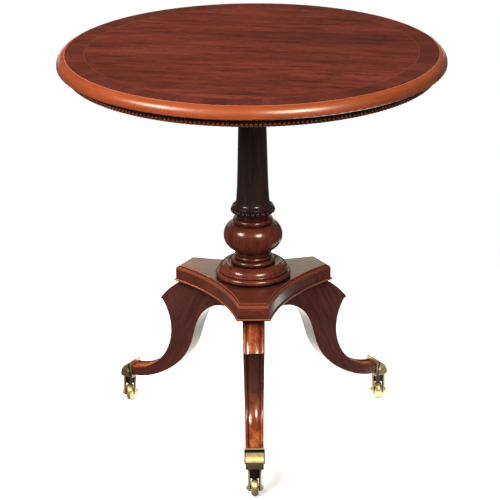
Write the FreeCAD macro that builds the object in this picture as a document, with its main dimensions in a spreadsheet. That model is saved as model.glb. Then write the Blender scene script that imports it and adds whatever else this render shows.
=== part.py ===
"""Tilt top table.

A round veneered top with a moulded rim and a beaded apron tips up on two pins held by a block at the head
of a turned column. The column stands on a three-armed platform carried by three scrolled legs, and each
leg ends in a brass cup caster. Origin on the floor under the column, +Z up, one leg towards -Y.
All sizes are millimetres; the spreadsheet "dims" holds the ones that drive the model.
"""
import FreeCAD, Part
import math
import os

import Sketcher

Vector = FreeCAD.Vector
Rotation = FreeCAD.Rotation

DIMENSIONS = {
    # round top, from the upper face down
    "height": 750,
    "rim_radius": 353,
    "panel_radius": 338,
    "crossband_width": 36,
    "veneer": 1,
    "panel_thickness": 21,
    "rim_lip": 1,
    "apron_inner": 312,
    "apron_radius": 331,
    "apron_depth": 18.7,
    "bead_radius": 4.35,
    # bearers and pivot block
    "bearer_width": 28,
    "bearer_depth": 26,
    "bearer_length": 524,
    "block_width": 230,
    "block_thickness": 28,
    "block_back": 112,
    "block_gap": 0.6,
    "side_gap": 1,
    "pivot_setback": 104,
    "pin_radius": 5,
    "pin_inside": 75,
    "running_gap": 0.08,
    # slide bolt under the far side
    "bolt_width": 10,
    "bolt_thickness": 6,
    "bolt_length": 44,
    "bolt_level": 721,
    "bolt_nose": 114.5,
    "mortise_depth": 9,
    "catch_width": 34,
    "catch_length": 50,
    "plate": 2,
    "strike_width": 30,
    "strike_tall": 14,
    "strike_plate": 1.5,
    # column, from the block down
    "tenon_radius": 19,
    "shaft_foot": 451,
    "collar_foot": 441,
    "joint_tenon": 18,
    "bead_circle": 37,
    "collar_bead": 4.6,
    "collar_beads": 24,
    "bulb_radius": 29,
    "plinth_top": 342,
    "foot_tenon": 24,
    "wedge_thickness": 3,
    # platform
    "platform_top": 315.5,
    "platform_thickness": 31.5,
    "arm_reach": 155.8,
    "arm_half_width": 31.1,
    "arm_sweep": 360,
    "base_bead": 4.2,
    "ovolo": 5.5,
    "top_step": 2.3,
    # iron tie rod
    "rod_radius": 6,
    "washer_radius": 30,
    "washer_thickness": 3,
    "nut_circumradius": 12.5,
    "nut_thickness": 9,
    # legs
    "leg_width": 41,
    "leg_toe_width": 32.5,
    "leg_root": 36,
    "reed_rise": 2.6,
    "edge_reed": 6.5,
    "dowel_radius": 6,
    "dowel_in_platform": 20,
    "dowel_in_leg": 28,
    "dowel_near": 70,
    "dowel_far": 118,
    # casters
    "cup_width": 33,
    "lip_width": 37,
    "cup_floor": 52.5,
    "toe_width": 29,
    "toe_end": 283,
    "toe_low": 57.5,
    "toe_high": 73.5,
    "swivel_reach": 283,
    "trail": 5,
    "spigot_radius": 4,
    "swivel_gap": 0.4,
    "wheel_radius": 16,
    "wheel_width": 13.5,
    "axle_radius": 2.5,
    "fork_gap": 14.5,
    "fork_arm": 5,
    # screws
    "wood_screw_radius": 2.4,
    "wood_screw_length": 38,
    "brass_screw_radius": 1.3,
    "brass_screw_length": 9,
}

LEGS = {"front": -90, "rear_right": 30, "rear_left": 150}

doc = FreeCAD.newDocument("tilt_top_table")
dims = doc.addObject("Spreadsheet::Sheet", "dims")
for row, (alias, size) in enumerate(DIMENSIONS.items(), 1):
    dims.set(f"A{row}", alias)
    dims.set(f"B{row}", str(size))
    dims.setAlias(f"B{row}", alias)
doc.recompute()

sub_parts = []


def value(formula):
    """Number that a formula on the sheet stands for."""
    return float(dims.evalExpression(formula))


def bind(thing, **formulas):
    """Bind properties to formulas on the sheet."""
    for name, formula in formulas.items():
        thing.setExpression(name, formula)
    return thing


def place(thing, x="0", y="0", z="0", turn=Rotation()):
    """Put a thing where three formulas say, turned by a rotation."""
    thing.Placement = FreeCAD.Placement(Vector(value(x), value(y), value(z)), turn)
    for name, formula in (("x", x), ("y", y), ("z", z)):
        thing.setExpression(f"Placement.Base.{name}", formula)
    return thing


def primitive(kind, name, x="0", y="0", z="0", turn=Rotation(), **formulas):
    """One of Part's own solids, bound to the sheet and placed."""
    solid = doc.addObject(f"Part::{kind}", name)
    bind(solid, **formulas)
    return place(solid, x, y, z, turn)


def box(name, width, length, tall, y, z, x="0"):
    """Box centred on x, starting at y and z."""
    return primitive("Box", name, f"{x} - ({width}) / 2", y, z, Width=length, Length=width, Height=tall)


def cut(name, base, *tools):
    """Base less its tools."""
    result = doc.addObject("Part::Cut", name)
    result.Base = base
    result.Tool = tools[0] if len(tools) == 1 else join(f"{name}_tools", *tools)
    return result


def join(name, *shapes):
    """One solid from several."""
    result = doc.addObject("Part::MultiFuse", name)
    result.Shapes = list(shapes)
    return result


def group(name, shapes):
    """Several separate solids as one thing."""
    result = doc.addObject("Part::Compound", name)
    result.Links = list(shapes)
    return result


def sub_part(thing, label):
    """Enter a finished thing as a sub-part."""
    thing.Label = label
    sub_parts.append(thing)
    return thing


def origin_feature(body, role):
    """Plane or axis of a body's own origin."""
    return next(item for item in body.Origin.OriginFeatures if item.Role == role)


def arc_between(start, end, radius):
    """Arc of a signed radius: positive turns left on the way from start to end."""
    chord = end - start
    half = chord.Length / 2
    across = Vector(-chord.y, chord.x, 0).normalize()
    rise = math.sqrt(radius ** 2 - half ** 2)
    centre = (start + end) / 2 + across * math.copysign(rise, radius)
    first, last = (start, end) if radius > 0 else (end, start)
    angles = [math.atan2(point.y - centre.y, point.x - centre.x) for point in (first, last)]
    return Part.ArcOfCircle(Part.Circle(centre, Vector(0, 0, 1), abs(radius)), *angles)


def outline(body, name, plane, corners, offset="0"):
    """Closed sketch on one of the body's planes, fixed to the sheet.

    A corner is two formulas. A third one makes the stretch that starts there an arc of that radius,
    turning left, or turning right if the radius has a minus sign.
    """
    sketch = body.newObject("Sketcher::SketchObject", name)
    sketch.AttachmentSupport = [(origin_feature(body, plane), "")]
    sketch.MapMode = "FlatFace"
    sketch.AttachmentOffset = FreeCAD.Placement(Vector(0, 0, value(offset)), Rotation())
    sketch.setExpression("AttachmentOffset.Base.z", offset)
    points = [Vector(value(corner[0]), value(corner[1]), 0) for corner in corners]
    ends = []
    for number, corner in enumerate(corners):
        start = points[number]
        end = points[(number + 1) % len(points)]
        if len(corner) == 3:
            sketch.addGeometry(arc_between(start, end, value(corner[2])))
            ends.append((1, 2) if value(corner[2]) > 0 else (2, 1))
        else:
            sketch.addGeometry(Part.LineSegment(start, end))
            ends.append((1, 2))
    for number, corner in enumerate(corners):
        before = number - 1 if number else len(corners) - 1
        link = ("Coincident", before, ends[before][1], number, ends[number][0])
        sketch.addConstraint(Sketcher.Constraint(*link))
        for kind, formula in (("DistanceX", corner[0]), ("DistanceY", corner[1])):
            fixed = (kind, -1, 1, number, ends[number][0], value(formula))
            index = sketch.addConstraint(Sketcher.Constraint(*fixed))
            sketch.setExpression(f"Constraints[{index}]", formula)
        if len(corner) == 3:
            radius = corner[2].lstrip("-")
            index = sketch.addConstraint(Sketcher.Constraint("Radius", number, value(radius)))
            sketch.setExpression(f"Constraints[{index}]", radius)
    return sketch


def turned(name, corners):
    """Body turned about Z from an outline of (radius, level) corners."""
    body = doc.addObject("PartDesign::Body", name)
    sketch = outline(body, f"{name}_outline", "XZ_Plane", corners)
    lathe = body.newObject("PartDesign::Revolution", f"{name}_turning")
    lathe.Profile = sketch
    lathe.ReferenceAxis = (sketch, ["V_Axis"])
    lathe.Angle = 360
    doc.recompute()
    return body


def pad(body, sketch, length, name, midplane=False):
    """Solid of a length formula raised from a sketch."""
    feature = body.newObject("PartDesign::Pad", name)
    feature.Profile = sketch
    feature.SideType = "Symmetric" if midplane else "One side"
    bind(feature, Length=length)
    doc.recompute()
    return feature


def pocket(body, sketch, length, name, midplane=False, reverse=False):
    """Hollow of a length formula sunk from a sketch; it must take something away."""
    before = body.Shape.Volume
    feature = body.newObject("PartDesign::Pocket", name)
    feature.Profile = sketch
    feature.SideType = "Symmetric" if midplane else "One side"
    feature.Reversed = reverse
    bind(feature, Length=length)
    doc.recompute()
    if body.Shape.Volume > before - 1:
        raise RuntimeError(f"{name} cuts nothing")
    return feature


def screws(label, size, seats):
    """Countersunk slotted screws of one size; a seat is the head's x, y, z and its rotation.

    Returns the plain screws, whose shape their holes are cut with. The slotted ones are the sub-part.
    """
    radius = f"dims.{size}_screw_radius"
    length = f"dims.{size}_screw_length"
    blanks = []
    slotted = []
    for number, (x, y, z, turn) in enumerate(seats, 1):
        name = f"{label}_{number}"
        shank = primitive("Cylinder", f"{name}_shank", Radius=radius, Height=length)
        head = primitive("Cone", f"{name}_head", Radius1=f"2 * {radius}", Radius2=radius, Height=radius)
        blank = place(join(f"{name}_blank", shank, head), x, y, z, turn)
        slot = box(f"{name}_slot_cut", f"0.45 * {radius}", f"5 * {radius}", f"0.5 * {radius}",
                   f"-2.5 * {radius}", "0")
        sunk = place(group(f"{name}_slot", [slot]), x, y, z, turn)
        blanks.append(blank)
        slotted.append(cut(f"{name}_screw", blank, sunk))
    sub_part(group(f"{label}_group", slotted), label)
    return group(f"{label}_blanks", blanks)


# ---------------------------------------------------------------- round top

UNDERSIDE = "(dims.height - dims.veneer - dims.panel_thickness)"
APRON_FOOT = f"({UNDERSIDE} - dims.apron_depth)"
BEAD_TOP = f"({APRON_FOOT} + 2 * dims.bead_radius)"
BEAD_BACK = "(dims.apron_radius - 3.6)"
BEARER_IN = "(dims.block_width / 2 + dims.side_gap)"
PIVOT_LEVEL = f"({UNDERSIDE} - dims.block_gap - dims.block_thickness / 2)"
BLOCK_FOOT = f"({UNDERSIDE} - dims.block_gap - dims.block_thickness)"
BLOCK_TOP = f"({UNDERSIDE} - dims.block_gap)"
FIELD_RADIUS = "(dims.panel_radius - dims.crossband_width)"
UP = Rotation()
FORWARD = Rotation(Vector(1, 0, 0), 90)
ALONG_X = Rotation(Vector(0, 1, 0), 90)
AGAINST_X = Rotation(Vector(0, 1, 0), -90)


def make_veneers():
    """Field disc and the crossband ring round it."""
    level = "dims.height - dims.veneer"
    field = primitive("Cylinder", "field", z=level, Radius=FIELD_RADIUS, Height="dims.veneer")
    sub_part(field, "field_veneer")
    outer = primitive("Cylinder", "band_outer", z=level, Radius="dims.panel_radius", Height="dims.veneer")
    inner = primitive("Cylinder", "band_inner", z=level, Radius=FIELD_RADIUS, Height="dims.veneer")
    sub_part(cut("band", outer, inner), "crossband_veneer")


def make_panel(bearer_screws, catch_screws):
    """Round board under the veneers, with the screws' holes in its underside."""
    board = primitive("Cylinder", "board", z=UNDERSIDE, Radius="dims.panel_radius",
                      Height="dims.panel_thickness")
    sub_part(cut("panel", board, bearer_screws, catch_screws), "top_panel")


def make_rim():
    """Thumb moulding round the edge, a little below the veneer, rounded under to a flat foot."""
    top = "dims.height - dims.rim_lip"
    foot = f"{UNDERSIDE} - 1"
    body = turned("rim", [
        ("dims.panel_radius", foot),
        ("dims.rim_radius - 3", foot, "3"),
        ("dims.rim_radius", f"{foot} + 3"),
        ("dims.rim_radius", f"{foot} + 4.5", "17"),
        ("dims.panel_radius + 3", f"{top} - 0.4"),
        ("dims.panel_radius", top),
    ])
    sub_part(body, "rim_moulding")


def make_apron():
    """Recessed ring under the panel, rebated for the beaded strip."""
    body = turned("apron", [
        ("dims.apron_inner", APRON_FOOT),
        (BEAD_BACK, APRON_FOOT),
        (BEAD_BACK, BEAD_TOP),
        ("dims.apron_radius", BEAD_TOP),
        ("dims.apron_radius", UNDERSIDE),
        ("dims.apron_inner", UNDERSIDE),
    ])
    sub_part(body, "apron_ring")
    strip = turned("bead_strip", [
        (BEAD_BACK, APRON_FOOT),
        ("dims.apron_radius + 0.4", APRON_FOOT, "dims.bead_radius + 0.001"),
        ("dims.apron_radius + 0.4", BEAD_TOP),
        (BEAD_BACK, BEAD_TOP),
    ])
    sub_part(strip, "bead_moulding")


def make_bearers():
    """Two rails under the panel, bevelled at the ends and bored for the pivot pins."""
    reach = "dims.bearer_length / 2"
    seats = []
    for side in ("-", ""):
        x = f"{side}({BEARER_IN} + dims.bearer_width / 2)"
        for y in ("-0.42 * dims.bearer_length", "0.02 * dims.bearer_length", "0.42 * dims.bearer_length"):
            seats.append((x, y, f"{UNDERSIDE} - dims.bearer_depth", UP))
    blanks = screws("bearer_screws", "wood", seats)
    for side, start in (("left", f"-({BEARER_IN} + dims.bearer_width)"), ("right", BEARER_IN)):
        body = doc.addObject("PartDesign::Body", f"bearer_{side}_rail")
        sketch = outline(body, f"bearer_{side}_outline", "YZ_Plane", [
            (f"-{reach}", UNDERSIDE),
            (f"-{reach}", f"{UNDERSIDE} - dims.bearer_depth / 2"),
            (f"-{reach} + 18", f"{UNDERSIDE} - dims.bearer_depth"),
            (f"{reach} - 18", f"{UNDERSIDE} - dims.bearer_depth"),
            (reach, f"{UNDERSIDE} - dims.bearer_depth / 2"),
            (reach, UNDERSIDE),
        ], offset=start)
        pad(body, sketch, "dims.bearer_width", f"bearer_{side}_pad")
        bore = primitive("Cylinder", f"bearer_{side}_bore", f"{start} - 1", "-dims.pivot_setback", PIVOT_LEVEL,
                         ALONG_X, Radius="dims.pin_radius + dims.running_gap",
                         Height="dims.bearer_width + 2")
        sub_part(cut(f"bearer_{side}_cut", body, blanks, bore), f"bearer_{side}")
    return blanks


# ---------------------------------------------------------------- slide bolt

def make_catch():
    """Back plate with two guide staples, the bolt that slides in them, its knob and its screws."""
    front = "dims.bolt_nose + 1.5"
    low = "dims.bolt_level - dims.bolt_thickness / 2"
    seats = []
    for side in ("-", ""):
        for y in (f"{front} + 10", f"{front} + dims.catch_length - 11"):
            seats.append((f"{side}(dims.catch_width / 2 - 5)", y, f"{UNDERSIDE} - dims.plate", UP))
    blanks = screws("catch_screws", "brass", seats)
    back = box("catch_back", "dims.catch_width", "dims.catch_length", "dims.plate", front,
               f"{UNDERSIDE} - dims.plate")
    staples = [
        box(f"catch_staple_{number}", "dims.bolt_width + 6", "5", f"{UNDERSIDE} - ({low}) + 1.5", y,
            f"{low} - 2.2")
        for number, y in enumerate((front, f"{front} + 30"), 1)
    ]
    slide = box("catch_slideway", "dims.bolt_width + 0.3", "dims.catch_length + 2",
                "dims.bolt_thickness + 0.3", f"{front} - 1", f"{low} - 0.15")
    frame = join("catch_frame", back, *staples)
    sub_part(cut("catch", frame, slide, blanks), "catch_plate")

    bar = box("bolt_bar", "dims.bolt_width", "dims.bolt_length", "dims.bolt_thickness", "dims.bolt_nose", low)
    socket = primitive("Cylinder", "knob_socket", "0", "dims.bolt_nose + 22", f"{low} - 1",
                       Radius="2", Height="4")
    sub_part(cut("bolt", bar, socket), "catch_bolt")
    knob = turned("knob", [
        ("0", f"{low} - 14"),
        ("2.5", f"{low} - 14", "3.6"),
        ("2.5", f"{low} - 7"),
        ("2", f"{low} - 6"),
        ("2", f"{low} + 3"),
        ("0", f"{low} + 3"),
    ])
    sub_part(place(knob, y="dims.bolt_nose + 22"), "bolt_knob")
    return blanks


def make_strike():
    """Plate let into the block's far edge, with its screws; returns what the block loses to them."""
    face = "dims.block_back"
    low = "dims.bolt_level - dims.strike_tall / 2 - 1"
    seats = [
        (f"{side}(dims.strike_width / 2 - 4)", face, "dims.bolt_level - 1", FORWARD) for side in ("-", "")
    ]
    blanks = screws("strike_screws", "brass", seats)
    plate = box("strike_blank", "dims.strike_width", "dims.strike_plate", "dims.strike_tall",
                f"{face} - dims.strike_plate", low)
    mortise = box("strike_mortise", "dims.bolt_width + 1", "dims.mortise_depth + 1", "dims.bolt_thickness + 1",
                  f"{face} - dims.mortise_depth", "dims.bolt_level - dims.bolt_thickness / 2 - 0.5")
    sub_part(cut("strike", plate, mortise, blanks), "strike_plate")
    return plate, mortise, blanks


# ---------------------------------------------------------------- pivot block and pins

def make_block(strike_cutters):
    """Square block on the column's head, with a full round at the edge the top turns about."""
    slab = box("block_slab", "dims.block_width", "dims.block_back + dims.pivot_setback",
               "dims.block_thickness", "-dims.pivot_setback", BLOCK_FOOT)
    nose = primitive("Cylinder", "block_nose", "-dims.block_width / 2", "-dims.pivot_setback", PIVOT_LEVEL,
                     ALONG_X, Radius="dims.block_thickness / 2", Height="dims.block_width")
    tenon_hole = primitive("Cylinder", "block_tenon_hole", z=BLOCK_FOOT, Radius="dims.tenon_radius",
                           Height="dims.block_thickness")
    pins = []
    bores = []
    head_start = f"({BEARER_IN} + dims.bearer_width + 0.3)"
    for side, turn in (("", ALONG_X), ("-", AGAINST_X)):
        name = "right" if turn is ALONG_X else "left"
        where = ("-dims.pivot_setback", PIVOT_LEVEL, turn)
        shank = primitive("Cylinder", f"pin_{name}_shank", f"{side}dims.pin_inside", *where,
                          Radius="dims.pin_radius", Height=f"{head_start} - dims.pin_inside")
        head = primitive("Cylinder", f"pin_{name}_head", f"{side}{head_start}", *where,
                         Radius="1.6 * dims.pin_radius", Height="3")
        bore = primitive("Cylinder", f"pin_{name}_bore", f"{side}dims.pin_inside", *where,
                         Radius="dims.pin_radius", Height="dims.block_width")
        pins.append(join(f"pin_{name}", shank, head))
        bores.append(bore)
    sub_part(group("pins", pins), "pivot_pins")
    solid = join("block_solid", slab, nose)
    sub_part(cut("block", solid, tenon_hole, *bores, *strike_cutters), "pivot_block")


# ---------------------------------------------------------------- column

def make_shaft():
    """Upper length of the column with its head tenon, split by a wedge, and its foot tenon."""
    foot = "dims.shaft_foot"
    body = turned("shaft", [
        ("0", "dims.collar_foot - 26"),
        ("dims.joint_tenon", "dims.collar_foot - 26"),
        ("dims.joint_tenon", foot),
        ("37.4", foot, "1.75"),
        ("37.4", f"{foot} + 3.4"),
        ("36", f"{foot} + 4", "-14"),
        ("31", f"{foot} + 12.5", "-775"),
        ("28.5", f"{foot} + 59"),
        ("26.2", f"{foot} + 152"),
        ("25.2", f"{BLOCK_FOOT} - 22", "3.3"),
        ("25.2", f"{BLOCK_FOOT} - 15.5"),
        ("26.6", f"{BLOCK_FOOT} - 14", "-14"),
        ("33", f"{BLOCK_FOOT} - 3"),
        ("33", BLOCK_FOOT),
        ("dims.tenon_radius", BLOCK_FOOT),
        ("dims.tenon_radius", BLOCK_TOP),
        ("0", BLOCK_TOP),
    ])
    wedge = box("wedge", "dims.wedge_thickness", "1.6 * dims.tenon_radius", "0.8 * dims.block_thickness",
                "-0.8 * dims.tenon_radius", f"{BLOCK_TOP} - 0.8 * dims.block_thickness")
    sub_part(cut("shaft_cut", body, wedge), "column_shaft")
    sub_part(wedge, "tenon_wedge")


def make_collar():
    """Ring carved with beads, slipped over the joint between the two lengths of the column."""
    body = turned("collar", [
        ("dims.joint_tenon", "dims.collar_foot"),
        ("dims.bead_circle", "dims.collar_foot"),
        ("dims.bead_circle", "dims.shaft_foot"),
        ("dims.joint_tenon", "dims.shaft_foot"),
    ])
    bead = bind(body.newObject("PartDesign::AdditiveSphere", "collar_first_bead"), Radius="dims.collar_bead")
    place(bead, x="dims.bead_circle", z="(dims.collar_foot + dims.shaft_foot) / 2")
    doc.recompute()
    ring = body.newObject("PartDesign::PolarPattern", "collar_bead_ring")
    ring.Originals = [bead]
    ring.Axis = (origin_feature(body, "Z_Axis"), [""])
    ring.Angle = 360
    bind(ring, Occurrences="dims.collar_beads")
    body.Tip = ring
    doc.recompute()
    sub_part(body, "bead_collar")


def make_vase():
    """Lower length of the column: cushion, bulb, neck and two rings, with a tenon through the platform."""
    foot = "(dims.platform_top - dims.platform_thickness)"
    seat = "dims.plinth_top"
    body = turned("vase", [
        ("dims.rod_radius", foot),
        ("dims.foot_tenon", foot),
        ("dims.foot_tenon", seat),
        ("39", seat, "5.2"),
        ("38", f"{seat} + 9.4"),
        ("34.6", f"{seat} + 9.8"),
        ("33.8", f"{seat} + 10", "3.7"),
        ("33.4", f"{seat} + 16.6"),
        ("31.5", f"{seat} + 17.4"),
        ("31.5", f"{seat} + 20.5", "-5"),
        ("34.4", f"{seat} + 24.2"),
        ("45.2", f"{seat} + 32.5", "dims.bulb_radius"),
        ("42.3", f"{seat} + 78"),
        ("37.5", f"{seat} + 78.6"),
        ("35.4", f"{seat} + 79.4", "5.6"),
        ("34", f"{seat} + 88.8"),
        ("30.4", f"{seat} + 90"),
        ("30.4", f"{seat} + 91.5", "-11"),
        ("37.4", "dims.collar_foot"),
        ("dims.joint_tenon", "dims.collar_foot"),
        ("dims.joint_tenon", "dims.collar_foot - 27"),
        ("0", "dims.collar_foot - 27"),
        ("0", f"{seat} + 59"),
        ("dims.rod_radius", f"{seat} + 59"),
    ])
    sub_part(body, "column_vase")


def make_plinth():
    """Turned ring at the column's foot: torus, fillet and dome."""
    seat = "dims.platform_top"
    body = turned("plinth", [
        ("dims.foot_tenon", seat),
        ("65.3", seat, "6.1"),
        ("65.3", f"{seat} + 12"),
        ("64", f"{seat} + 12.6"),
        ("64.6", f"{seat} + 13.2", "2.1"),
        ("64.6", f"{seat} + 16.6"),
        ("63.2", f"{seat} + 17.2", "15"),
        ("50", f"{seat} + 28.5"),
        ("46.5", f"{seat} + 28.1"),
        ("44.6", "dims.plinth_top"),
        ("dims.foot_tenon", "dims.plinth_top"),
    ])
    sub_part(body, "base_plinth")


def make_tie():
    """Iron rod up the column's foot, with a washer and nut under the platform."""
    under = "(dims.platform_top - dims.platform_thickness)"
    rod_foot = f"({under} - dims.washer_thickness - dims.nut_thickness - 4)"
    rod = primitive("Cylinder", "rod", z=rod_foot, Radius="dims.rod_radius",
                    Height=f"dims.plinth_top + 58 - {rod_foot}")
    sub_part(rod, "tie_rod")
    washer = primitive("Cylinder", "washer_disc", z=f"{under} - dims.washer_thickness",
                       Radius="dims.washer_radius", Height="dims.washer_thickness")
    sub_part(cut("washer", washer, rod), "tie_washer")
    nut = primitive("Prism", "nut_blank", z=f"{under} - dims.washer_thickness - dims.nut_thickness",
                    Circumradius="dims.nut_circumradius", Height="dims.nut_thickness")
    nut.Polygon = 6
    sub_part(cut("nut", nut, rod), "tie_nut")


# ---------------------------------------------------------------- platform and legs

def triform(inset):
    """Corners of the three-armed outline, drawn in by an inset: flat arm ends and hollow sides."""
    reach = f"(dims.arm_reach - {inset})"
    half = f"(dims.arm_half_width - 0.66 * {inset})"
    corners = []
    for azimuth in LEGS.values():
        for side, sweep in (("-", None), ("+", "-dims.arm_sweep")):
            x = f"{reach} * cos({azimuth}) {'-' if side == '+' else '+'} {half} * sin({azimuth})"
            y = f"{reach} * sin({azimuth}) {side} {half} * cos({azimuth})"
            corners.append((x, y, sweep) if sweep else (x, y))
    return corners


def edges_at(shape, level):
    """Names of the edges that lie wholly at a level."""
    names = []
    for number, edge in enumerate(shape.Edges, 1):
        if abs(edge.BoundBox.ZMin - level) < 0.01 and abs(edge.BoundBox.ZMax - level) < 0.01:
            names.append(f"Edge{number}")
    return names


def round_edges(body, levels, radius, name):
    """Fillet every edge of the body that lies at one of the levels."""
    tip = body.Tip
    names = [edge for level in levels for edge in edges_at(tip.Shape, value(level))]
    feature = body.newObject("PartDesign::Fillet", name)
    feature.Base = (tip, names)
    bind(feature, Radius=radius)
    doc.recompute()


def make_platform(dowels):
    """Thick three-armed board: a bead at the foot, a plain face, an ovolo and a small step at the top."""
    under = "(dims.platform_top - dims.platform_thickness)"
    step = "(dims.platform_top - dims.top_step)"
    body = doc.addObject("PartDesign::Body", "platform_body")
    base = outline(body, "platform_foot", "XY_Plane", triform("0"), offset=under)
    pad(body, base, "dims.base_bead", "platform_foot_pad")
    round_edges(body, (under, f"{under} + dims.base_bead"), "0.35 * dims.base_bead", "platform_foot_bead")
    face = outline(body, "platform_face", "XY_Plane", triform("3"), offset=f"{under} + dims.base_bead")
    pad(body, face, f"{step} - {under} - dims.base_bead", "platform_face_pad")
    round_edges(body, (step,), "dims.ovolo", "platform_ovolo")
    top = outline(body, "platform_step", "XY_Plane", triform("9.6"), offset=step)
    pad(body, top, "dims.top_step", "platform_step_pad")
    round_edges(body, ("dims.platform_top",), "0.4 * dims.top_step", "platform_step_round")
    hole = primitive("Cylinder", "platform_hole", z=under, Radius="dims.foot_tenon",
                     Height="dims.platform_thickness")
    sub_part(cut("platform_cut", body, hole, dowels), "platform")


def make_dowels():
    """Two dowels at the head of each leg, half in the platform and half in the leg."""
    under = "(dims.platform_top - dims.platform_thickness)"
    rods = []
    for name, azimuth in LEGS.items():
        for place_name in ("near", "far"):
            rods.append(primitive(
                "Cylinder", f"dowel_{name}_{place_name}",
                f"dims.dowel_{place_name} * cos({azimuth})", f"dims.dowel_{place_name} * sin({azimuth})",
                f"{under} - dims.dowel_in_leg",
                Radius="dims.dowel_radius", Height="dims.dowel_in_leg + dims.dowel_in_platform"))
    return sub_part(group("dowels", rods), "leg_dowels")


def curve_through(*points):
    """Smooth curve through (radial, level) points of the leg's side view."""
    curve = Part.BSplineCurve()
    curve.interpolate([Vector(x, 0, z) for x, z in points])
    return curve


def leg_face_curves():
    """The two runs of the leg's moulded face: the knee, and the hollow shank below its sharp break."""
    under = value("dims.platform_top - dims.platform_thickness")
    knee = curve_through((142, under), (168.8, 266.1), (186.1, 249.4), (195.5, 238))
    shank = curve_through((191.5, 233.9), (180.3, 211), (174.8, 182), (177.8, 152), (195.1, 116),
                          (225, 90.6), (267.4, 78.3))
    return knee, shank


def stations(curve):
    """Points along a face curve, each with the outward direction there."""
    count = 9
    first = curve.FirstParameter
    step = (curve.LastParameter - first) / (count - 1)
    found = []
    for number in range(count):
        along = curve.tangent(first + number * step)[0]
        found.append((curve.value(first + number * step), Vector(-along.z, 0, along.x)))
    return found


def leg_side(body, name):
    """Side view of a leg, with its face drawn in by the height of the reeds that lie on it."""
    under = value("dims.platform_top - dims.platform_thickness")
    root = value("dims.leg_root")
    sketch = body.newObject("Sketcher::SketchObject", name)
    sketch.AttachmentSupport = [(origin_feature(body, "XZ_Plane"), "")]
    sketch.MapMode = "FlatFace"
    back = [(265.5, 59.7), (235.6, 63.9), (200.6, 78.4), (165.5, 102.6), (141.3, 130.4), (127.2, 160.5),
            (117.7, 192.6), (102.7, 222.5), (83.5, 239.6), (57, 247.9)]
    runs = [[Vector(x, z, 0) for x, z in back]]
    for face in leg_face_curves():
        drawn_in = [point - outward * value("dims.reed_rise") for point, outward in stations(face)]
        runs.append([Vector(point.x, point.z, 0) for point in drawn_in])
    back, knee, shank = runs
    knee[0] = Vector(knee[0].x, under, 0)
    corners = [back[-1], Vector(root, 249, 0), Vector(root, under, 0), knee[0]]
    for start, end in zip(corners, corners[1:]):
        sketch.addGeometry(Part.LineSegment(start, end))
    sketch.addGeometry(Part.LineSegment(knee[-1], shank[0]))
    sketch.addGeometry(Part.LineSegment(shank[-1], back[0]))
    for run in runs:
        curve = Part.BSplineCurve()
        curve.interpolate([knee[0]] + run[1:] if run is knee else run)
        sketch.addGeometry(curve)
    return sketch


def reed(curve, edges):
    """Convex reed along a face curve; edges gives its two sides from the leg's half width."""
    under = value("dims.platform_top - dims.platform_thickness")
    rise = value("dims.reed_rise")
    taper = value("(dims.leg_width - dims.leg_toe_width) / 2") / (under - 59)
    sections = []
    for point, outward in stations(curve):
        left, right = edges(value("dims.leg_width / 2") - taper * (under - point.z))
        corners = [
            point + Vector(0, y, 0) + outward * height
            for y, height in ((left, -rise), ((left + right) / 2, 0), (right, -rise), (right, -2 * rise),
                              (left, -2 * rise))
        ]
        arc = Part.Arc(*corners[:3]).toShape()
        sides = Part.makePolygon(corners[2:] + corners[:1])
        sections.append(Part.Wire([arc] + sides.Edges))
    return Part.makeLoft(sections, True)


def leg_reeds(name):
    """Broad middle reed and a narrow one along each edge, on the knee and on the shank."""
    edge = value("dims.edge_reed")
    inset = 0.15
    spans = (
        lambda half: (edge + 0.8 - half, half - edge - 0.8),
        lambda half: (inset - half, edge - half),
        lambda half: (half - edge, half - inset),
    )
    solids = [reed(curve, span) for curve in leg_face_curves() for span in spans]
    reeds = doc.addObject("Part::Feature", name)
    reeds.Shape = Part.makeCompound(solids)
    return reeds


def make_leg(name, azimuth, dowels, blanks):
    """Leg sawn to its side view, reeded and tapered, with a short toe inside the caster's cup."""
    under = "(dims.platform_top - dims.platform_thickness)"
    body = doc.addObject("PartDesign::Body", f"leg_{name}_body")
    side = leg_side(body, f"leg_{name}_side")
    pad(body, side, "dims.leg_width", f"leg_{name}_pad", midplane=True)
    for hand in ("-", ""):
        wide = f"{hand}dims.leg_width / 2"
        narrow = f"{hand}dims.leg_toe_width / 2"
        wedge = outline(body, f"leg_{name}_taper_{'left' if hand else 'right'}", "YZ_Plane", [
            (wide, under),
            (narrow, "59"),
            (narrow, "50"),
            (f"{wide} * 1.1", "50"),
            (f"{wide} * 1.1", under),
        ])
        pocket(body, wedge, "400", f"leg_{name}_taper_cut_{'left' if hand else 'right'}", reverse=True)
    toe = outline(body, f"leg_{name}_toe", "XZ_Plane", [
        ("262", "dims.toe_low + 3"),
        ("266", "dims.toe_low"),
        ("dims.toe_end", "dims.toe_low"),
        ("dims.toe_end", "dims.toe_high"),
        ("262", "dims.toe_high"),
    ])
    pad(body, toe, "dims.toe_width", f"leg_{name}_toe_pad", midplane=True)
    reeded = join(f"leg_{name}_reeded", body, leg_reeds(f"leg_{name}_reeds"))
    above = box(f"leg_{name}_above", "300", "300", "20", "-150", under, x="150")
    level = cut(f"leg_{name}_level", reeded, above)
    level.Placement = FreeCAD.Placement(Vector(), Rotation(Vector(0, 0, 1), azimuth))
    sub_part(cut(f"leg_{name}_cut", level, dowels, blanks), f"leg_{name}")


# ---------------------------------------------------------------- casters

SWIVEL_TOP = "(dims.cup_floor - dims.swivel_gap)"


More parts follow.
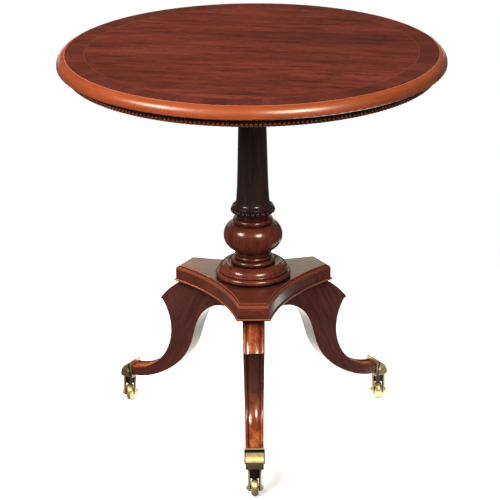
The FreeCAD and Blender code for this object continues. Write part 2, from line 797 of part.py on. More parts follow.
def make_cup_screws():
    """One screw through each side of every cup into the toe of the leg."""
    seats = []
    for azimuth in LEGS.values():
        for side, lean in (("-", -90), ("+", 90)):
            reach = "(dims.swivel_reach - 7)"
            x = f"{reach} * cos({azimuth}) {'+' if side == '-' else '-'} dims.cup_width / 2 * sin({azimuth})"
            y = f"{reach} * sin({azimuth}) {side} dims.cup_width / 2 * cos({azimuth})"
            turn = Rotation(Vector(0, 0, 1), azimuth) * Rotation(Vector(1, 0, 0), lean)
            seats.append((x, y, "(dims.toe_low + dims.toe_high) / 2", turn))
    return screws("cup_screws", "brass", seats)


def make_cup(name, azimuth, blanks):
    """Square brass socket with a rounded nose and a raised lip where the leg enters."""
    body = doc.addObject("PartDesign::Body", f"cup_{name}_body")
    nose = outline(body, f"cup_{name}_nose", "XZ_Plane", [
        ("267", "dims.cup_floor"),
        ("291.5", "dims.cup_floor"),
        ("293", "dims.cup_floor + 2"),
        ("293", "dims.cup_floor + 3.5", "24"),
        ("277", "79.5"),
        ("269.5", "80.8"),
    ])
    pad(body, nose, "dims.cup_width", f"cup_{name}_nose_pad", midplane=True)
    lip = outline(body, f"cup_{name}_lip", "XZ_Plane", [
        ("265.4", "53.3"),
        ("268.6", "52.9"),
        ("272.6", "83.4"),
        ("269", "84.3"),
    ])
    pad(body, lip, "dims.lip_width", f"cup_{name}_lip_pad", midplane=True)
    socket = outline(body, f"cup_{name}_socket", "XZ_Plane", [
        ("262", "dims.toe_low + 3"),
        ("266", "dims.toe_low"),
        ("dims.toe_end", "dims.toe_low"),
        ("dims.toe_end", "dims.toe_high"),
        ("262", "dims.toe_high"),
    ])
    pocket(body, socket, "dims.toe_width", f"cup_{name}_socket_cut", midplane=True)
    body.Placement = FreeCAD.Placement(Vector(), Rotation(Vector(0, 0, 1), azimuth))
    reach = (f"dims.swivel_reach * cos({azimuth})", f"dims.swivel_reach * sin({azimuth})")
    bore = primitive("Cylinder", f"cup_{name}_bore", *reach, "dims.cup_floor - 1",
                     Radius="dims.spigot_radius + dims.running_gap", Height="dims.toe_low - dims.cup_floor + 0.4")
    sub_part(cut(f"cup_{name}_cut", body, blanks, bore), f"caster_cup_{name}")


def make_yoke(name, azimuth):
    """Swivelling fork: spigot and crown on the swivel axis, two arms that trail back to the axle."""
    body = turned(f"yoke_{name}", [
        ("0", "dims.cup_floor - 18"),
        ("9.5", "dims.cup_floor - 18"),
        ("10", "dims.cup_floor - 12", "-9"),
        ("13", f"{SWIVEL_TOP} - 4"),
        ("13", SWIVEL_TOP),
        ("dims.spigot_radius", SWIVEL_TOP),
        ("dims.spigot_radius", "dims.toe_low - 0.9"),
        ("0", "dims.toe_low - 0.9"),
    ])
    for hand, start in (("left", "-dims.fork_gap / 2 - dims.fork_arm"), ("right", "dims.fork_gap / 2")):
        arm = outline(body, f"yoke_{name}_arm_{hand}", "YZ_Plane", [
            ("-8", f"{SWIVEL_TOP} - 3"),
            ("-dims.trail - 7", "dims.wheel_radius", "7.001"),
            ("-dims.trail + 7", "dims.wheel_radius"),
            ("8", f"{SWIVEL_TOP} - 3"),
        ], offset=start)
        pad(body, arm, "dims.fork_arm", f"yoke_{name}_arm_{hand}_pad")
    reach = (f"dims.swivel_reach * cos({azimuth})", f"dims.swivel_reach * sin({azimuth})")
    place(body, *reach)
    axle = primitive("Cylinder", f"yoke_{name}_axle_hole", f"{reach[0]} - 20", f"{reach[1]} - dims.trail",
                     "dims.wheel_radius", ALONG_X, Radius="dims.axle_radius", Height="40")
    room = primitive("Cylinder", f"yoke_{name}_wheel_room", f"{reach[0]} - dims.fork_gap / 2",
                     f"{reach[1]} - dims.trail", "dims.wheel_radius", ALONG_X,
                     Radius="dims.wheel_radius + 1.6", Height="dims.fork_gap")
    sub_part(cut(f"yoke_{name}_cut", body, axle, room), f"caster_yoke_{name}")


def make_wheel_and_axle(name, azimuth):
    """Brass wheel with a crowned tread and a raised hub, on a pin with domed heads."""
    x = f"dims.swivel_reach * cos({azimuth})"
    y = f"dims.swivel_reach * sin({azimuth}) - dims.trail"
    half = "dims.wheel_width / 2"
    bore = "dims.axle_radius + dims.running_gap"
    shapes = {
        "caster_wheel": [
            (f"-{half}", bore),
            (half, bore),
            (half, "6.2"),
            (f"{half} - 2.2", "7.2"),
            (f"{half} - 2.2", "11.4"),
            (f"{half} - 0.5", "12.8", "7.703"),
            (f"-{half} + 0.5", "12.8"),
            (f"-{half} + 2.2", "11.4"),
            (f"-{half} + 2.2", "7.2"),
            (f"-{half}", "6.2"),
        ],
        "caster_axle": [
            ("-15.4", "0"),
            ("15.4", "0"),
            ("15.4", "2", "4"),
            ("12.4", "4.8"),
            ("12.4", "dims.axle_radius"),
            ("-12.4", "dims.axle_radius"),
            ("-12.4", "4.8", "4"),
            ("-15.4", "2"),
        ],
    }
    for label, corners in shapes.items():
        body = doc.addObject("PartDesign::Body", f"{label}_{name}_body")
        half_section = outline(body, f"{label}_{name}_section", "XY_Plane", corners)
        lathe = body.newObject("PartDesign::Revolution", f"{label}_{name}_turning")
        lathe.Profile = half_section
        lathe.ReferenceAxis = (half_section, ["H_Axis"])
        lathe.Angle = 360
        sub_part(place(body, x, y, "dims.wheel_radius"), f"{label}_{name}")


dowel_rods = make_dowels()
bearer_holes = make_bearers()
catch_holes = make_catch()
make_veneers()
make_panel(bearer_holes, catch_holes)
make_rim()
make_apron()
make_block(make_strike())
make_shaft()
make_collar()
make_vase()
make_plinth()
make_tie()
make_platform(dowel_rods)
cup_holes = make_cup_screws()
for leg_name, leg_azimuth in LEGS.items():
    make_leg(leg_name, leg_azimuth, dowel_rods, cup_holes)
    make_cup(leg_name, leg_azimuth, cup_holes)
    make_yoke(leg_name, leg_azimuth)
    make_wheel_and_axle(leg_name, leg_azimuth)

doc.recompute()
for item in doc.Objects:
    if "Invalid" in item.State or "Error" in item.State:
        raise RuntimeError(f"{item.Label} failed: {item.State}")
for item in sub_parts:
    if item.Shape.isNull() or not item.Shape.isValid():
        raise RuntimeError(f"{item.Label} has no valid shape")

os.makedirs("parts", exist_ok=True)
for item in sub_parts:
    item.Shape.exportStep(f"parts/{item.Label}.step")
    print(f"{item.Label}: {len(item.Shape.Solids)} solid(s), {item.Shape.Volume / 1000:.1f} cm3")
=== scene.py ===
# %% [markdown]
# # A tilt top table, dressed in its finishes
# The table is already built to size elsewhere: every board, turning, screw and caster comes in as a frame
# of named nodes grouped in bodies that move. Here each piece gets the finish that its maker gave it.
# Lengths are metres, +Z is up, and the front leg points along -Y.

# %% Load the frame and keep its size
import math

import bmesh
import bpy
from mathutils import Matrix, Vector


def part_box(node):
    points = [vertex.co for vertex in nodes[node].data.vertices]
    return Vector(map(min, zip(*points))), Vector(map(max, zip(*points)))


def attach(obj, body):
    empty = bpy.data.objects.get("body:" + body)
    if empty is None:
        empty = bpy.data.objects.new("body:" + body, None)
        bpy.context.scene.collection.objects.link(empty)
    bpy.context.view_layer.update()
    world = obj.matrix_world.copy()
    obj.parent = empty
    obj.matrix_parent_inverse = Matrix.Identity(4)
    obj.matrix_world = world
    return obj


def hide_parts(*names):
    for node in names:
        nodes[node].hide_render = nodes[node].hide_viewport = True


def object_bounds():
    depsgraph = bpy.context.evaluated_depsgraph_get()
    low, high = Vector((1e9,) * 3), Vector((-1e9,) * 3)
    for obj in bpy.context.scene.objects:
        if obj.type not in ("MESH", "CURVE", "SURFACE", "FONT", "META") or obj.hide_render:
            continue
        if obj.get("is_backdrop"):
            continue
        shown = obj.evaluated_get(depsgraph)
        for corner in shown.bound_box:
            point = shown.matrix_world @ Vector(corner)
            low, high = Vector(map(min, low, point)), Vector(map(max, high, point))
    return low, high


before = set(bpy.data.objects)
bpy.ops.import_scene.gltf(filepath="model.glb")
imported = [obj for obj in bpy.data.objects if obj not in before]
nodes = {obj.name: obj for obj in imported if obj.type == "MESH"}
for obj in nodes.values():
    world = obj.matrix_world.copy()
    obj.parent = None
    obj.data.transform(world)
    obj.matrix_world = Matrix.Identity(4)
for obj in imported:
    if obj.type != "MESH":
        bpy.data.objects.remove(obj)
cad_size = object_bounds()


# %% [markdown]
# ## A small language for finishes
# A finish is a web of shader nodes. Wiring each one by hand hides the idea behind the plumbing, so a small
# class holds the wiring: `add` makes a node and plugs in what it is given, be it a number or another
# node's output. It serves any tree of nodes, the studio's air as well as a piece's finish.

# %% Wiring
class Wiring:
    """A node tree under construction, with short ways to add and join its nodes."""

    def __init__(self, tree):
        self.tree = tree

    def add(self, kind, sockets=None, **settings):
        """One shader node, with its settings and what goes into its sockets."""
        node = self.tree.nodes.new(f"ShaderNode{kind}")
        for key, setting in settings.items():
            setattr(node, key, setting)
        for key, source in (sockets or {}).items():
            self.feed(node.inputs[key], source)
        return node

    def feed(self, socket, source):
        """Plug a node's output, or set a plain value."""
        if isinstance(source, bpy.types.NodeSocket):
            self.tree.links.new(source, socket)
        else:
            socket.default_value = source

    def math(self, operation, first, second=0.0):
        """Arithmetic on one or two values."""
        return self.add("Math", {0: first, 1: second}, operation=operation).outputs[0]


# %% [markdown]
# ## What a finish can do
# A finish adds the patterns, colours and measures that woods and metals are mixed from. Every pattern
# reads object coordinates. The frame's pieces all have their origin at the table's own, so the grain stays
# put in the wood when the top tips.

# %% The finish class
class Finish(Wiring):
    """A material under construction."""

    def __init__(self, name):
        self.material = bpy.data.materials.new(name)
        self.material.use_nodes = True
        super().__init__(self.material.node_tree)
        self.shader = self.tree.nodes["Principled BSDF"]
        self.place = self.add("TexCoord").outputs["Object"]

    def stretch(self, where, scale):
        """Coordinates drawn out or squeezed along each axis."""
        return self.add("Mapping", {"Vector": where, "Scale": scale}).outputs[0]

    def noise(self, where, scale, detail=4.0, roughness=0.55, distortion=0.0):
        """Soft random pattern between 0 and 1."""
        sockets = {"Vector": where, "Scale": scale, "Detail": detail, "Roughness": roughness,
                   "Distortion": distortion}
        return self.add("TexNoise", sockets).outputs["Fac"]

    def ramp(self, value, *stops):
        """Colours or greys laid along a value."""
        node = self.add("ValToRGB", {0: value})
        keys = node.color_ramp.elements
        while len(keys) < len(stops):
            keys.new(0.5)
        for key, (position, colour) in zip(keys, stops):
            key.position = position
            key.color = (*colour, 1) if isinstance(colour, tuple) else (colour, colour, colour, 1)
        return node.outputs[0]

    def mix(self, share, first, second):
        """Blend of two colours."""
        node = self.add("Mix", data_type="RGBA")
        for socket, source in zip((node.inputs[0], node.inputs[6], node.inputs[7]), (share, first, second)):
            self.feed(socket, (*source, 1) if isinstance(source, tuple) else source)
        return node.outputs[2]

    def weigh(self, share, first, second):
        """Average of two values: the first counts for its share, the second for the rest."""
        return self.math("ADD", self.math("MULTIPLY", first, share), self.math("MULTIPLY", second, 1 - share))

    def spread(self, value, low, high, start=0.0, end=1.0):
        """Map a value that runs from start to end onto the range from low to high."""
        sockets = {"Value": value, "From Min": start, "From Max": end, "To Min": low, "To Max": high}
        return self.add("MapRange", sockets).outputs[0]

    def between(self, value, low, high):
        """1 where a value lies between two levels, else 0."""
        above = self.math("GREATER_THAN", value, low)
        return self.math("MULTIPLY", above, self.math("LESS_THAN", value, high))

    def number(self, where, axis):
        """One of a point's three numbers: 0, 1 or 2."""
        return self.add("SeparateXYZ", {0: where}).outputs[axis]

    def reach(self, where, direction):
        """How far a point lies along a direction."""
        return self.add("VectorMath", {0: where, 1: direction}, operation="DOT_PRODUCT").outputs["Value"]

    def facing(self, direction):
        """How squarely the surface faces along a direction or against it, from 0 to 1."""
        return self.math("ABSOLUTE", self.reach(self.add("TexCoord").outputs["Normal"], direction))

    def in_corners(self, distance, *stops):
        """Greys laid along how open a point is, looking for other surfaces within a distance."""
        openness = self.add("AmbientOcclusion", {"Distance": distance}, samples=8).outputs["AO"]
        return self.ramp(openness, *stops)

    def bump(self, height, depth, under=None):
        """Surface relief of a depth in metres."""
        node = self.add("Bump", {"Height": height, "Distance": depth, "Strength": 1.0})
        if under:
            self.feed(node.inputs["Normal"], under)
        return node.outputs[0]

    def shade(self, sockets):
        """Plug everything into the shader that closes the web."""
        for key, source in sockets.items():
            self.feed(self.shader.inputs[key], source)
        return self


def put_on(finish, *names):
    """Give CAD nodes a finish."""
    for name in names:
        nodes[name].data.materials.clear()
        nodes[name].data.materials.append(finish.material)


# %% [markdown]
# ## Where the grain runs
# Wood looks like wood when its grain follows the piece. A board's fibres run straight along one axis. In
# crossbanding they run out from the centre, and in a bent or built-up ring they follow the ring. Each
# case only bends the coordinates; one wood recipe then serves them all.

# %% Coordinates that follow the piece
def along(finish, axis, turn=0.0):
    """Coordinates whose first number runs along the fibres of a straight piece."""
    rotations = {"x": (0, 0, turn), "y": (0, 0, turn - math.pi / 2), "z": (0, math.pi / 2, turn)}
    return finish.add("Mapping", {"Vector": finish.place, "Rotation": rotations[axis]}).outputs[0]


def around(finish, radius, fibres_run_out):
    """Coordinates bent round the table's axis, with fibres running out from it or round it."""
    x, y, z = finish.add("SeparateXYZ", {0: finish.place}).outputs
    angle = finish.math("MULTIPLY", finish.math("ARCTAN2", y, x), radius)
    flat = finish.add("CombineXYZ", {0: x, 1: y}).outputs[0]
    distance = finish.add("VectorMath", {0: flat}, operation="LENGTH").outputs["Value"]
    first, second = (distance, angle) if fibres_run_out else (angle, distance)
    return finish.add("CombineXYZ", {0: first, 1: second, 2: z}).outputs[0]


def measured_along(finish, *directions):
    """Coordinates measured along three directions; the first runs with the fibres."""
    steps = [finish.reach(finish.place, direction) for direction in directions]
    return finish.add("CombineXYZ", dict(enumerate(steps))).outputs[0]


# %% [markdown]
# ## Bare mahogany
# Bare mahogany holds several patterns at once: broad figure, where the tree's ribbons lean to and fro;
# fine fibres; darker streaks and hairs that wander through both; small dark checks; a light and dark
# mottle; and short open pores that hold dark filler. Each pattern is noise drawn out along the fibres to
# its own length. They are laid over each other one at a time, as a grainer paints them.

# %% Grain
def darker(colour, share):
    """The same colour with only a share of its light; more than 1 makes it lighter."""
    return tuple(channel * share for channel in colour)


def grain(finish, where, tones, figure=3.0, streaks=0.5, flecks=0.5, broad=0.6):
    """Colour of bare wood, with the heights that its fibres and pores give to the surface."""
    dark, middle, light = tones

    def pattern(lengthwise, across, *noise):
        return finish.noise(finish.stretch(where, (lengthwise, across, across)), *noise)

    ribbon = pattern(0.35, 2.2, figure, 3.0, 0.6, 0.6)
    fibre = pattern(1.0, 26.0, 9.0, 6.0, 0.62, 0.15)
    streak = pattern(0.5, 6.0, 2.4 * figure, 5.0, 0.65, 0.9)
    hair = pattern(1.0, 16.0, 70.0, 3.0, 0.7)
    check = pattern(0.8, 12.0, 15.0, 5.0, 0.7, 1.2)
    mottle = pattern(1.0, 3.0, 42.0, 4.0, 0.7)
    pores = pattern(1.0, 13.0, 60.0, 2.0, 0.5)

    colour = finish.ramp(finish.weigh(broad, ribbon, fibre), (0.38, dark), (0.50, middle), (0.62, light))
    colour = finish.mix(finish.ramp(streak, (0.50, 0.0), (0.66, streaks)), colour, darker(dark, 0.55))
    colour = finish.mix(finish.ramp(hair, (0.35, 0.45), (0.62, 0.0)), colour, dark)
    colour = finish.mix(finish.ramp(check, (0.565, 0.0), (0.65, streaks)), colour, darker(dark, 0.4))
    swing = 0.1 + 0.6 * flecks
    lift = finish.spread(mottle, 1 - swing, 1 + swing)
    colour = finish.add("VectorMath", {0: colour, "Scale": lift}, operation="SCALE").outputs[0]
    pore_mask = finish.ramp(pores, (0.32, 1.0), (0.42, 0.0))
    colour = finish.mix(finish.math("MULTIPLY", pore_mask, flecks), colour, darker(dark, 0.3))
    return colour, fibre, pore_mask


# %% [markdown]
# ## Polish
# Shellac is rubbed on in many thin coats. The wood keeps its own dull gloss and gains a second, sharper one
# from the clear film above, which is what Principled's coat does. Corners are also painted dark, as the
# shade that falls where surfaces close in. Ambient occlusion measures how shut in a point is, so it says
# where that painted shade lies.

# %% Polish over the grain
PAINTED_CORNER_SHADE = (0.010, 0.004, 0.003)  # colour of the painted shade in corners
FIBRE_HEIGHT = 0.00002
PORE_DEPTH = 0.00003
FILM_RIPPLE = 0.0002  # how far the clear film rises and falls


def polish(finish, bare, rough=0.25, coat=0.5, glaze=0.0, film=0.12, corner=0.014):
    """Lay the polish over bare wood: painted shade in the corners, dull gloss beneath, clear film on top."""
    colour, fibre, pore_mask = bare
    if glaze:
        # Painted shade: corners are darkened by how shut in they are.
        shut_in = finish.in_corners(corner, (0.40, glaze), (0.90, 0.0))
        colour = finish.mix(shut_in, colour, PAINTED_CORNER_SHADE)
    wear = finish.noise(finish.place, 11.0, 4.0)
    raised = finish.bump(fibre, FIBRE_HEIGHT)
    return finish.shade({
        "Base Color": colour,
        "Roughness": finish.spread(wear, rough, rough + 0.16),
        "Specular IOR Level": 0.06,
        "Coat Weight": coat,
        "Coat Roughness": film,
        "Normal": finish.bump(finish.math("SUBTRACT", 1.0, pore_mask), PORE_DEPTH, raised),
        "Coat Normal": finish.bump(wear, FILM_RIPPLE),
    })


def wood(name, where_from, tones, figure=3.0, streaks=0.5, flecks=0.5, broad=0.6, **gloss):
    """Polished wood; where_from gives coordinates that run along the fibres."""
    finish = Finish(name)
    return polish(finish, grain(finish, where_from(finish), tones, figure, streaks, flecks, broad), **gloss)


# %% [markdown]
# ## The round top's field
# The field is one sheet of figured veneer, laid with its grain nearly from side to side; the small turn
# is what makes it look laid by hand. Strong streaks and flecks give it the liveliest face of the table.

# %% Field
FIELD_TURN = 0.17  # radians between the grain and the line from side to side
field_wood = wood("field_mahogany", lambda f: along(f, "x", FIELD_TURN),
                  ((0.066, 0.0102, 0.0054), (0.120, 0.0196, 0.0096), (0.180, 0.0320, 0.0150)),
                  figure=5.0, streaks=0.8, flecks=0.9, broad=0.65, rough=0.36, coat=0.20, film=0.2)
put_on(field_wood, "field_veneer")
print("field veneered")


# %% [markdown]
# ## The crossband
# Round the field runs a band cut across the grain, and a thin line of paler wood shows where the two meet.
# The line is under a millimetre wide and lies flush, so it is drawn in the band's own finish, wherever a
# point lies closer than that to the field's edge.

# %% Crossband
BAND_RADIUS = 0.32  # about the band's middle, where its pattern keeps its true size
PALE_LINE = 0.0009


def crossband():
    """Band cut across the grain, with the pale line along its inner edge."""
    finish = Finish("crossband_mahogany")
    where = around(finish, BAND_RADIUS, True)
    tones = ((0.060, 0.0100, 0.0056), (0.090, 0.0155, 0.0080), (0.125, 0.0230, 0.0115))
    colour, fibre, pore_mask = grain(finish, where, tones, figure=8.0, streaks=0.25, flecks=0.4, broad=0.8)
    field_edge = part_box("field_veneer")[1][0]
    line = finish.math("LESS_THAN", finish.number(where, 0), field_edge + PALE_LINE)
    colour = finish.mix(line, colour, (0.145, 0.034, 0.018))
    return polish(finish, (colour, fibre, pore_mask), rough=0.36, coat=0.20, film=0.2)


put_on(crossband(), "crossband_veneer")
print("crossband laid")


# %% [markdown]
# ## The rim and the beads' wood
# The rim is solid wood, paler and warmer than the veneers, and its grain follows the ring. A thin light line
# along its inner edge is a painted highlight, where that edge catches the light. The beads below are carved
# from the same kind of wood, but they are darker, and the gaps between them are painted dark as shade.

# %% Rim and beads' wood
RIM_RADIUS = 0.345
APRON_RADIUS = 0.33
# width of the painted highlight along the rim's inner edge
RIM_HIGHLIGHT_WIDTH = 0.0010


def rim_wood():
    """Paler mahogany bent round the top, with a thin painted highlight along its inner edge."""
    finish = Finish("rim_mahogany")
    where = around(finish, RIM_RADIUS, False)
    tones = ((0.195, 0.033, 0.0075), (0.270, 0.049, 0.0110), (0.340, 0.070, 0.017))
    colour, fibre, pore_mask = grain(finish, where, tones, figure=4.0, streaks=0.2, flecks=0.2)
    band_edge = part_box("crossband_veneer")[1][0]
    # Painted highlight: a thin light line along the rim's inner edge.
    line = finish.math("LESS_THAN", finish.number(where, 1), band_edge + RIM_HIGHLIGHT_WIDTH)
    colour = finish.mix(line, colour, (0.52, 0.19, 0.07))
    return polish(finish, (colour, fibre, pore_mask), rough=0.3, coat=0.9, film=0.31)


put_on(rim_wood(), "rim_moulding")
bead_wood = wood("bead_mahogany", lambda f: around(f, APRON_RADIUS, False),
                 ((0.090, 0.019, 0.007), (0.175, 0.040, 0.014), (0.260, 0.066, 0.022)),
                 coat=0.35, film=0.2, glaze=0.9)
print("rim polished")


# %% [markdown]
# ## Apron and column
# The apron sits in the shade under the rim and is painted nearly black, as that shade, so that the beads in
# front of it stand out. The shaft, in the shade of the top, is painted the darkest of the turnings, as shade.
# The vase below it and the plinth are redder, with painted shade in each groove. Wood that nobody sees, under
# the top, is only oiled.

# %% Turned and hidden woods
# Painted shade: the apron's near-black tones stand for the shade under the rim.
apron_shade_wood = wood("apron_mahogany", lambda f: around(f, APRON_RADIUS, False),
                  ((0.008, 0.004, 0.003), (0.014, 0.006, 0.005), (0.022, 0.009, 0.007)),
                  rough=0.35, coat=0.15)
# Painted shade: the shaft's dark tones stand for the shade under the top.
shaft_shade_wood = wood("shaft_mahogany", lambda f: along(f, "z"),
                  ((0.021, 0.0105, 0.0095), (0.036, 0.0170, 0.0150), (0.056, 0.0235, 0.0195)),
                  flecks=0.3, coat=0.3, glaze=0.9)
vase_wood = wood("vase_mahogany", lambda f: along(f, "z"),
                 ((0.058, 0.0105, 0.006), (0.120, 0.0235, 0.0125), (0.195, 0.0430, 0.0210)),
                 flecks=0.3, coat=0.52, glaze=0.95, film=0.19)
bench_wood = wood("oiled_carcase", lambda f: along(f, "y"),
                  ((0.13, 0.065, 0.032), (0.21, 0.115, 0.06), (0.30, 0.17, 0.09)),
                  figure=5.0, rough=0.5, coat=0.0)
put_on(apron_shade_wood, "apron_ring", "bead_moulding")
put_on(shaft_shade_wood, "column_shaft", "bead_collar")
put_on(vase_wood, "column_vase", "base_plinth")
put_on(bench_wood, "top_panel", "bearer_left", "bearer_right", "pivot_block", "tenon_wedge", "leg_dowels")
print("apron, column and carcase finished")


# %% [markdown]
# ## The platform
# Cloths and shoes rub a platform's edges first, and its rounded edges catch the light. So its foot bead and
# its top edge are painted lighter, as wear and as painted highlight, and the moulding between them a little.
# Each is a band of levels, measured from the platform's own foot and top.

# %% Platform
FOOT_BEAD = (0.0022, 0.0044)  # levels above the foot
MOULDING = (-0.0080, -0.0028)  # levels below the top
TOP_EDGE = (-0.0020, -0.0002)


def platform_wood():
    """Mahogany for the platform, lighter along its foot bead, its moulding and its top edge, as wear and
    painted highlight.
    """
    finish = Finish("platform_mahogany")
    tones = ((0.064, 0.0122, 0.0078), (0.113, 0.0236, 0.0147), (0.172, 0.0400, 0.0222))
    colour, fibre, pore_mask = grain(finish, along(finish, "x"), tones, figure=6.0, flecks=0.4)
    level = finish.number(finish.place, 2)
    foot, top = (corner[2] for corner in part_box("platform"))
    # Wear and painted highlight: the edge bands are mixed towards a light colour below.
    rubbed_and_lit = 0.0
    for start, band, share in ((foot, FOOT_BEAD, 0.85), (top, TOP_EDGE, 0.85), (top, MOULDING, 0.35)):
        inside = finish.between(level, start + band[0], start + band[1])
        rubbed_and_lit = finish.math("ADD", rubbed_and_lit, finish.math("MULTIPLY", inside, share))
    colour = finish.mix(rubbed_and_lit, colour, (0.34, 0.086, 0.034))
    return polish(finish, (colour, fibre, pore_mask), coat=0.6, glaze=0.9, film=0.16)


put_on(platform_wood(), "platform")
print("platform finished")


# %% [markdown]
# ## Where old polish stays on the legs
# Below the knee each leg's face is hollowed and turns away from the light, so that hollow is painted dark as
# shade, down to where it fades out above the foot. The reeds' grooves are painted dark as shade too, and old
# polish has stayed in small blotches. The first is a mask made from the point's level, the second from its
# distance to the leg's middle, and noise makes the edges of both wander.

# %% Old polish
LEGS = {"front": -90, "rear_right": 30, "rear_left": 150}  # azimuth in degrees
UP = Vector((0, 0, 1))
SHANK_TOP = 0.2345  # level of the sharp break under the knee
SHANK_FADE = (0.128, 0.180)  # levels between which the painted shade of the hollow fades in


def leg_directions(azimuth):
    """Directions for a leg: out from the column, and across the leg."""
    slope = math.radians(azimuth)
    out = Vector((math.cos(slope), math.sin(slope), 0))
    return out, UP.cross(out)


def shank_shade_and_blotches(finish, face, sideways):
    """A leg's bright face with painted shade in the hollow shank and along the grooves, and old polish in
    blotches.
    """
    level = finish.number(finish.place, 2)
    wander = finish.noise(finish.place, 30.0, 4.0, 0.6)
    height = finish.math("ADD", level, finish.math("MULTIPLY", wander, 0.05))
    above = finish.spread(height, 0.0, 1.0, *SHANK_FADE)
    hollow = finish.math("MULTIPLY", above, finish.math("LESS_THAN", level, SHANK_TOP))
    # Painted shade: dark in the hollow shank under the knee.
    face = finish.mix(finish.math("MULTIPLY", hollow, 0.90), face, (0.050, 0.019, 0.016))
    spot = finish.math("ADD", finish.math("MULTIPLY", sideways, 50.0), finish.math("MULTIPLY", wander, 0.2))
    groove = finish.ramp(spot, (0.48, 0.0), (0.60, 0.6), (0.68, 0.6), (0.80, 0.0))
    # Painted shade: dark along the reeds' grooves.
    face = finish.mix(groove, face, (0.030, 0.008, 0.005))
    blotch = finish.noise(finish.place, 75.0, 4.0, 0.65)
    return finish.mix(finish.ramp(blotch, (0.40, 0.50), (0.53, 0.0)), face, (0.060, 0.012, 0.006))


# %% [markdown]
# ## Legs
# Each leg is sawn from a plank, so its fibres run on a straight slant while its shape curls. The reeded
# face is painted bright, as lit, and the flat sides dark, as shaded, and some legs' sides are painted lighter
# than others by how they stand to the lamps. The way a point faces, across the leg or out along it, tells the
# two apart. Close under the platform everything is painted dark, as the platform's shadow.

# %% Leg wood
LIT_FACE_TONES = ((0.150, 0.024, 0.008), (0.400, 0.080, 0.022), (0.620, 0.180, 0.052))
SHADED_SIDE_TONES = ((0.062, 0.0170, 0.0130), (0.088, 0.0230, 0.0178), (0.120, 0.0325, 0.0245))
SIDE_LIGHT_PER_LEG = {"front": 1.0, "rear_right": 1.27, "rear_left": 0.87}  # painted light on each leg's sides, by how the leg stands to the lamps
PLATFORM_SHADOW_LEVELS = (0.264, 0.282)  # levels between which the painted shadow sets in


def leg_wood(leg, azimuth):
    """Mahogany for one leg: reeded face painted bright as lit, sides painted dark as shaded, and a painted
    shadow close under the platform.
    """
    finish = Finish(f"leg_mahogany_{leg}")
    out, side = leg_directions(azimuth)
    where = measured_along(finish, 0.45 * out - 0.89 * UP, side, 0.89 * out + 0.45 * UP)
    face, fibre, pore_mask = grain(finish, where, LIT_FACE_TONES, figure=16.0, streaks=0.7, broad=0.7)
    face = shank_shade_and_blotches(finish, face, finish.math("ABSOLUTE", finish.number(where, 1)))
    # Painted light: each leg's sides are made lighter or darker by how the leg stands to the lamps.
    lit_side_tones = [darker(tone, SIDE_LIGHT_PER_LEG[leg]) for tone in SHADED_SIDE_TONES]
    flat = grain(finish, where, lit_side_tones, figure=8.0, streaks=0.35, flecks=0.3, broad=0.45)[0]
    # Painted light: the face is painted bright as lit and the sides dark as shaded, chosen by which way a
    # point faces.
    colour = finish.mix(finish.ramp(finish.facing(side), (0.80, 0.0), (0.97, 1.0)), face, flat)
    # Painted shadow: dark close under the platform.
    dark = finish.spread(finish.number(finish.place, 2), 0.0, 0.85, *PLATFORM_SHADOW_LEVELS)
    colour = finish.mix(dark, colour, (0.012, 0.005, 0.004))
    return polish(finish, (colour, fibre, pore_mask), coat=0.55, glaze=0.85, film=0.15, corner=0.032)


for leg, azimuth in LEGS.items():
    put_on(leg_wood(leg, azimuth), f"leg_{leg}")
print(len(LEGS), "legs finished")


# %% [markdown]
# ## The beaded strip
# Under the rim runs a strip of small carved beads, set so close that each just runs into the next. Carving
# them one by one would be slow, so one bead is shaped and set round the circle by a loop, half sunk in a
# plain backing ring. The beads are true shapes, because their scalloped edge shows against the light.

# %% Beads round the apron
def new_object(name, contents):
    """A new object in the scene, holding a mesh, a light or a camera."""
    item = bpy.data.objects.new(name, contents)
    bpy.context.collection.objects.link(item)
    return item


def new_piece(name, mesh):
    """A new object made from a mesh under construction."""
    shape = bpy.data.meshes.new(name)
    mesh.to_mesh(shape)
    mesh.free()
    return new_object(name, shape)


def ring_section(mesh, profile, steps):
    """Skin swept round the table's axis from a closed profile of (radius, level)."""
    rings = []
    for step in range(steps):
        turn = 2 * math.pi * step / steps
        rings.append([mesh.verts.new((r * math.cos(turn), r * math.sin(turn), z)) for r, z in profile])
    for here, there in zip(rings, rings[1:] + rings[:1]):
        for i in range(len(profile)):
            j = (i + 1) % len(profile)
            mesh.faces.new((here[i], there[i], there[j], here[j]))


def beaded_strip():
    """Backing ring with beads, the size of the strip that it stands for."""
    low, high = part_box("bead_moulding")
    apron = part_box("apron_ring")[1][0]
    half = (high[2] - low[2]) / 2
    centre = high[0] - half
    count = round(2 * math.pi * centre / (1.82 * half))
    back = apron - 0.0036
    front = apron - 0.0004
    mesh = bmesh.new()
    ring_section(mesh, [(back, low[2]), (front, low[2]), (front, high[2]), (back, high[2])], count)
    swell = Matrix.Diagonal((half, 0.93 * half, half, 1))
    for number in range(count):
        turn = Matrix.Rotation(2 * math.pi * number / count, 4, "Z")
        bmesh.ops.create_uvsphere(mesh, u_segments=12, v_segments=8, radius=1.0,
                                  matrix=turn @ Matrix.Translation((centre, 0, low[2] + half)) @ swell)
    piece = new_piece("apron_beads", mesh)
    for face in piece.data.polygons:
        face.use_smooth = face.index >= 4 * count
    piece.data.materials.append(bead_wood.material)
    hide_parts("bead_moulding")
    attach(piece, "top")
    print(count, "beads")


beaded_strip()


# %% [markdown]
# ## Old brass and iron
# The casters' brass has been lacquered and handled for years. It is bright gold where hands and floors
# rub it and nearly black where dirt stays. Noise at two scales drives colour and roughness together, and
# every tight corner goes black. Clouded lacquer scatters some of the light before it reaches the metal, so
# Metallic stays below 1.

